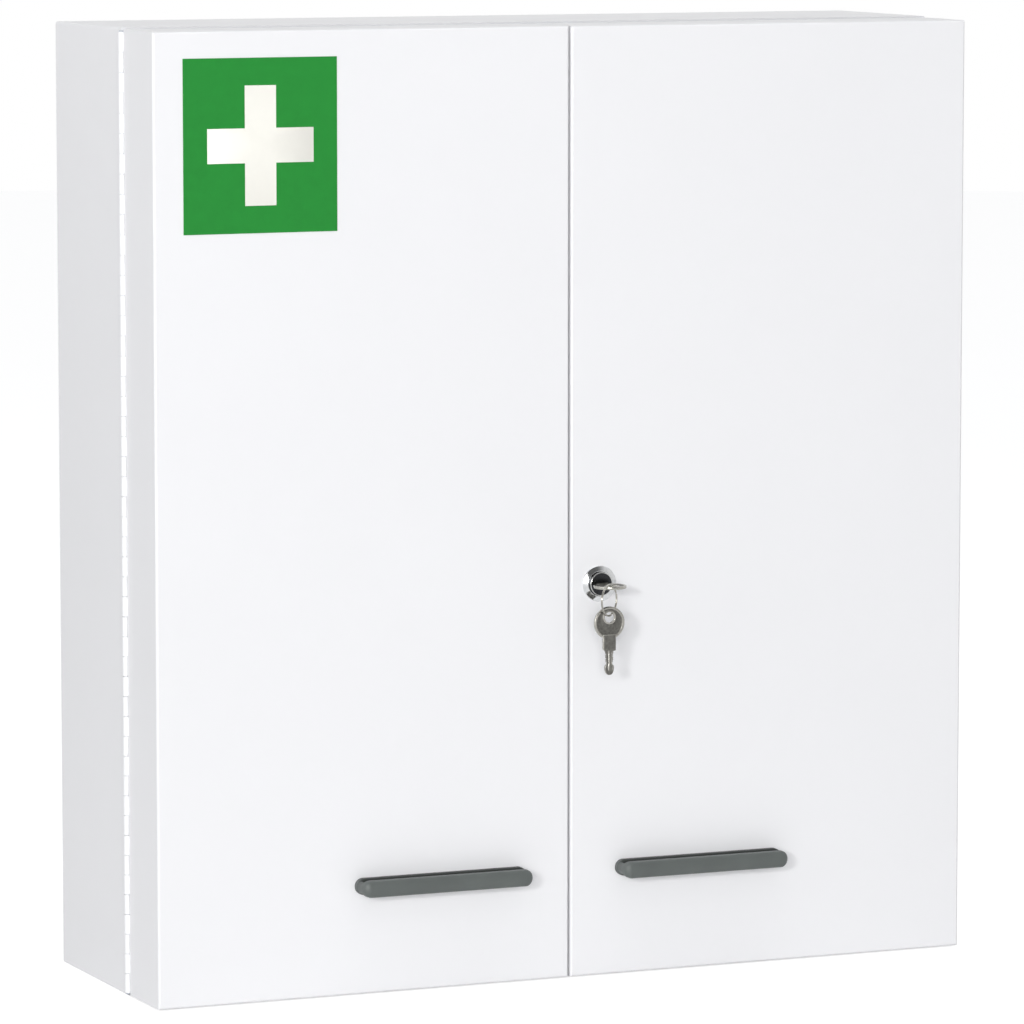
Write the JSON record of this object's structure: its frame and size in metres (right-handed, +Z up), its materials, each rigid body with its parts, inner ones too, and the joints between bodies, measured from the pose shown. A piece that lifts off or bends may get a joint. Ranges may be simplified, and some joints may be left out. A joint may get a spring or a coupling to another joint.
{
  "type": "medicine cabinet",
  "caption": "Lockable wall medicine cabinet with deep tray doors on continuous hinges, shelves, bar handles and a hook cam lock with keys on a ring.",
  "frame": {"origin": "centre of the four wall-fixing holes in the back face", "axes": "+X to the right seen from the front, +Y into the wall, +Z up"},
  "size_m": [0.5554, 0.2092, 0.6],
  "materials": {
    "white_powder_coat": "satin white powder coat",
    "zinc_plate": "bright zinc plate",
    "white_plastic": "moulded",
    "rubber": "matte",
    "dark_plastic": "fine matt texture",
    "green_vinyl": "satin",
    "lock_chrome": "polished",
    "lock_plug_black": "black nickel, polished",
    "key_nickel": "nickel plated, worn",
    "ring_steel": "nickel plated wire"
  },
  "bodies": {
    "cabinet": {"body_shell": "white_powder_coat", "back_panel": "white_powder_coat", "upper_shelf": "white_powder_coat", "lower_shelf": "white_powder_coat", "left_hinge_body_leaf": "white_powder_coat", "right_hinge_body_leaf": "white_powder_coat", "shelf_clips": "zinc_plate", "left_hinge_pin": "zinc_plate", "right_hinge_pin": "zinc_plate", "body_hinge_rivets": "zinc_plate", "catch_pole_plates": "zinc_plate", "catch_screws": "zinc_plate", "catch_housings": "white_plastic", "door_bumpers": "rubber"},
    "left_door": {"left_door_shell": "white_powder_coat", "left_door_upper_shelf": "white_powder_coat", "left_door_lower_shelf": "white_powder_coat", "left_door_bottom_rail": "white_powder_coat", "left_hinge_door_leaf": "white_powder_coat", "left_hinge_rivets": "zinc_plate", "left_handle": "dark_plastic", "left_handle_screws": "zinc_plate", "left_strike_plates": "zinc_plate", "sign_panel": "green_vinyl", "lock_keeper": "zinc_plate"},
    "right_door": {"right_door_shell": "white_powder_coat", "right_door_upper_shelf": "white_powder_coat", "right_door_lower_shelf": "white_powder_coat", "right_door_bottom_rail": "white_powder_coat", "right_hinge_door_leaf": "white_powder_coat", "right_hinge_rivets": "zinc_plate", "right_handle": "dark_plastic", "right_handle_screws": "zinc_plate", "right_strike_plates": "zinc_plate", "lock_housing": "lock_chrome", "lock_washer": "zinc_plate", "lock_nut": "lock_chrome"},
    "lock_plug": {"lock_plug": "lock_plug_black", "lock_cam": "zinc_plate", "cam_washer": "zinc_plate", "cam_screw": "zinc_plate"},
    "key": {"inserted_key": "key_nickel"},
    "key_ring": {"key_ring": "ring_steel"},
    "spare_key": {"spare_key": "key_nickel"}
  },
  "joints": [
    {"name": "left_door_hinge", "type": "hinge", "parent": "cabinet", "child": "left_door", "pos_m": [-0.2755, -0.124, 0], "axis": [0, 0, -1], "range_deg": [0, 175]},
    {"name": "right_door_hinge", "type": "hinge", "parent": "cabinet", "child": "right_door", "pos_m": [0.2755, -0.124, 0], "axis": [0, 0, 1], "range_deg": [0, 175]},
    {"name": "lock_turn", "type": "hinge", "parent": "right_door", "child": "lock_plug", "pos_m": [0.02, -0.178, -0.05], "axis": [0, 1, 0], "range_deg": [0, 90]},
    {"name": "key_slide", "type": "slide", "parent": "lock_plug", "child": "key", "axis": [0, -1, 0], "range_m": [0, 0.026]},
    {"name": "ring_swing", "type": "hinge", "parent": "key", "child": "key_ring", "pos_m": [0.016, -0.2026, -0.05], "axis": [-0.788, -0.6157, 0], "range_deg": [-20, 20]},
    {"name": "spare_key_swing", "type": "hinge", "parent": "key_ring", "child": "spare_key", "pos_m": [0.016, -0.2026, -0.0673], "axis": [0, -1, 0], "range_deg": [-70, 70]}
  ]
}
